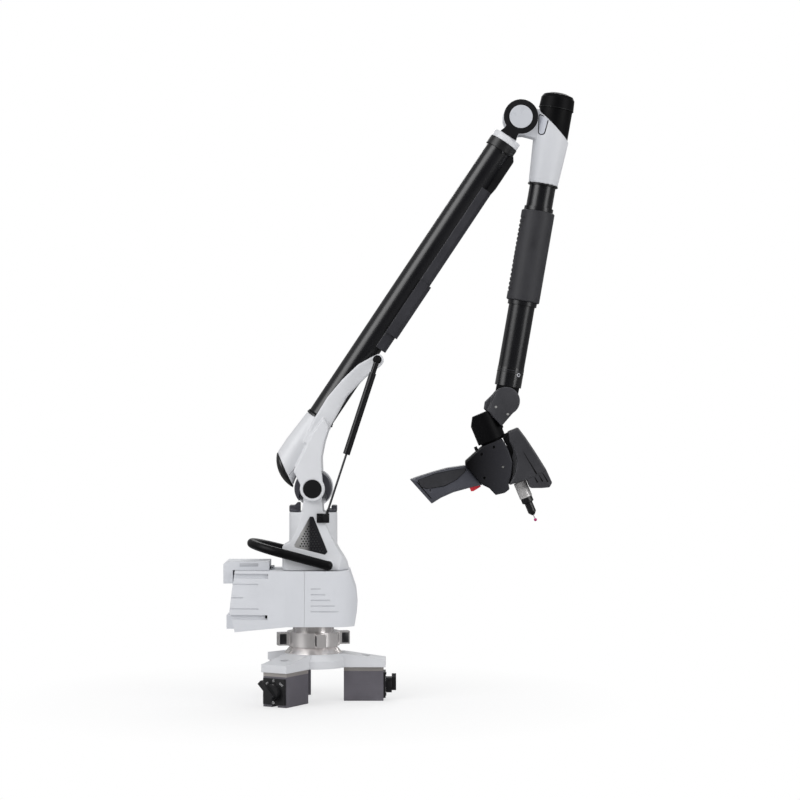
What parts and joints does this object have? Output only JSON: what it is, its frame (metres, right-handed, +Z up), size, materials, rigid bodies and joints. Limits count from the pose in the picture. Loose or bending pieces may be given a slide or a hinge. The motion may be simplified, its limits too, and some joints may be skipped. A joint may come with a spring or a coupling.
{
  "type": "coordinate measuring machine",
  "caption": "Portable articulated measuring arm on a switchable magnet base, with a gas-strut shoulder, rolling forearm, trigger grip, laser scanner head and ruby stylus.",
  "frame": {"origin": "on the swivel axis at the height of the magnet feet's undersides", "axes": "+Z up along the swivel axis; +X the side to which the arm reaches, along one magnet foot; every hinge of the rest pose turns about Y"},
  "size_m": [0.6476, 0.2825, 1.1239],
  "materials": {
    "light_paint": "satin powder coat",
    "cast_alloy_paint": "painted alloy casting, satin",
    "magnet_iron": "dark, ground",
    "spacer_steel": "brushed",
    "black_plate": "matte black",
    "steel": "brushed",
    "chrome_steel": "polished",
    "dark_alloy": "anodised black",
    "grey_plastic": "fine texture",
    "black_plastic": "satin",
    "charcoal_plastic": "fine texture",
    "gloss_black": "gloss",
    "carbon_tube": "carbon-fibre tube, satin",
    "rubber": "matte",
    "board_green": "solder mask",
    "glass": "smoked",
    "red_plastic": "gloss",
    "ruby": "polished ruby"
  },
  "bodies": {
    "mount": {"mount_plate": "light_paint", "magnet_spacers": "spacer_steel", "magnet_blocks": "magnet_iron", "magnet_faceplates": "black_plate", "mount_screws": "steel", "mount_flange": "steel", "base_post": "cast_alloy_paint", "base_chassis": "cast_alloy_paint", "base_cover_right": "grey_plastic", "base_cover_tail": "grey_plastic", "circuit_board": "board_green", "swivel_bearings": "steel"},
    "locking_ring": {"locking_ring": "steel"},
    "magnet_switch_right": {"magnet_switch_right": "steel"},
    "magnet_switch_rear": {"magnet_switch_rear": "steel"},
    "magnet_switch_front": {"magnet_switch_front": "steel"},
    "battery": {"battery_pack": "grey_plastic"},
    "latch": {"battery_latch": "black_plastic"},
    "turret": {"turret_casting": "cast_alloy_paint", "turret_shroud": "black_plastic", "turret_grilles": "black_plate", "swivel_shaft": "steel", "carry_handle": "gloss_black", "strut_lower_bracket": "black_plate", "shoulder_bearings": "steel"},
    "upper_arm": {"shoulder_yoke": "cast_alloy_paint", "yoke_end_cap": "gloss_black", "shoulder_axle": "steel", "shoulder_caps": "gloss_black", "upper_tube": "carbon_tube", "tube_clamp": "dark_alloy", "tube_guard": "black_plastic", "guard_bumper": "rubber", "strut_upper_stud": "steel", "roll_bearings": "steel"},
    "strut": {"strut_cylinder": "black_plate"},
    "strut_rod": {"strut_rod": "chrome_steel"},
    "elbow_fork": {"elbow_collar": "cast_alloy_paint", "elbow_cheeks": "dark_alloy", "elbow_axle": "steel", "inner_tube": "carbon_tube"},
    "elbow": {"elbow_housing": "cast_alloy_paint", "elbow_covers": "gloss_black", "elbow_bearings": "steel"},
    "forearm": {"forearm_tube": "carbon_tube", "wrist_socket": "dark_alloy"},
    "grip": {"forearm_grip": "rubber"},
    "wrist": {"wrist_cheeks": "dark_alloy", "wrist_block": "dark_alloy", "wrist_axle": "steel"},
    "head": {"head_shells": "charcoal_plastic", "head_spindle": "steel", "pistol_grip": "charcoal_plastic", "grip_pads": "rubber", "scanner_body": "charcoal_plastic", "scanner_window": "glass", "probe_adapter": "steel", "stylus": "black_plate"},
    "trigger": {"trigger": "red_plastic"},
    "head_button": {"head_button": "black_plastic"}
  },
  "joints": [
    {"name": "ring_lock", "type": "hinge", "parent": "mount", "child": "locking_ring", "pos_m": [0, 0, 0.11], "axis": [0, 0, 1], "range_deg": [0, 90]},
    {"name": "switch_right", "type": "hinge", "parent": "mount", "child": "magnet_switch_right", "pos_m": [0.12, 0, 0.0275], "axis": [1, 0, 0], "range_deg": [0, 90]},
    {"name": "switch_rear", "type": "hinge", "parent": "mount", "child": "magnet_switch_rear", "pos_m": [-0.06, 0.10392, 0.0275], "axis": [-0.5, 0.866, 0], "range_deg": [0, 90]},
    {"name": "switch_front", "type": "hinge", "parent": "mount", "child": "magnet_switch_front", "pos_m": [-0.06, -0.10392, 0.0275], "axis": [-0.5, -0.866, 0], "range_deg": [0, 90]},
    {"name": "battery_slide", "type": "slide", "parent": "mount", "child": "battery", "axis": [-1, 0, 0], "range_m": [0, 0.07]},
    {"name": "latch_lift", "type": "hinge", "parent": "mount", "child": "latch", "pos_m": [-0.0748, 0, 0.245], "axis": [0, 1, 0], "range_deg": [0, 60]},
    {"name": "swivel", "type": "hinge", "parent": "mount", "child": "turret", "pos_m": [0, 0, 0.2416], "axis": [0, 0, 1], "continuous": true},
    {"name": "shoulder_tilt", "type": "hinge", "parent": "turret", "child": "upper_arm", "pos_m": [0, 0, 0.391], "axis": [0, 1, 0], "range_deg": [-20, 50], "stiffness_Nm_per_rad": 42, "springref_deg": -18.33},
    {"name": "strut_swing", "type": "hinge", "parent": "upper_arm", "child": "strut", "pos_m": [0.11897, 0, 0.62778], "axis": [0, 1, 0], "range_deg": [-5.05, 2.05]},
    {"name": "strut_slide", "type": "slide", "parent": "strut", "child": "strut_rod", "axis": [0.3107, 0, 0.9505], "range_m": [-0.0161, 0.0401]},
    {"name": "upper_roll", "type": "hinge", "parent": "upper_arm", "child": "elbow_fork", "pos_m": [0.38336, 0, 1.07577], "axis": [0.5548, 0, 0.832], "continuous": true},
    {"name": "elbow_tilt", "type": "hinge", "parent": "elbow_fork", "child": "elbow", "pos_m": [0.38336, 0, 1.07577], "axis": [0, 1, 0], "range_deg": [-145, 6]},
    {"name": "forearm_roll", "type": "hinge", "parent": "elbow", "child": "forearm", "pos_m": [0.44503, 0, 1.065], "axis": [0.1719, 0, 0.9851], "continuous": true},
    {"name": "grip_spin", "type": "hinge", "parent": "forearm", "child": "grip", "pos_m": [0.44503, 0, 1.065], "axis": [0.1719, 0, 0.9851], "continuous": true},
    {"name": "wrist_tilt", "type": "hinge", "parent": "forearm", "child": "wrist", "pos_m": [0.35556, 0, 0.55235], "axis": [0, 1, 0], "range_deg": [-90, 55]},
    {"name": "head_roll", "type": "hinge", "parent": "wrist", "child": "head", "pos_m": [0.30847, 0, 0.53275], "axis": [-0.3843, 0, 0.9232], "continuous": true},
    {"name": "trigger_pull", "type": "slide", "parent": "head", "child": "trigger", "axis": [-0.3843, 0, 0.9232], "range_m": [0, 0.004], "stiffness_N_per_m": 800},
    {"name": "button_press", "type": "slide", "parent": "head", "child": "head_button", "axis": [0.3843, 0, -0.9232], "range_m": [0, 0.0015], "stiffness_N_per_m": 900}
  ],
  "couplings": [
    {"joint": "strut_swing", "follows": "shoulder_tilt", "ratio": -0.1},
    {"joint": "strut_slide", "follows": "shoulder_tilt", "m_per_rad": 0.0458}
  ]
}
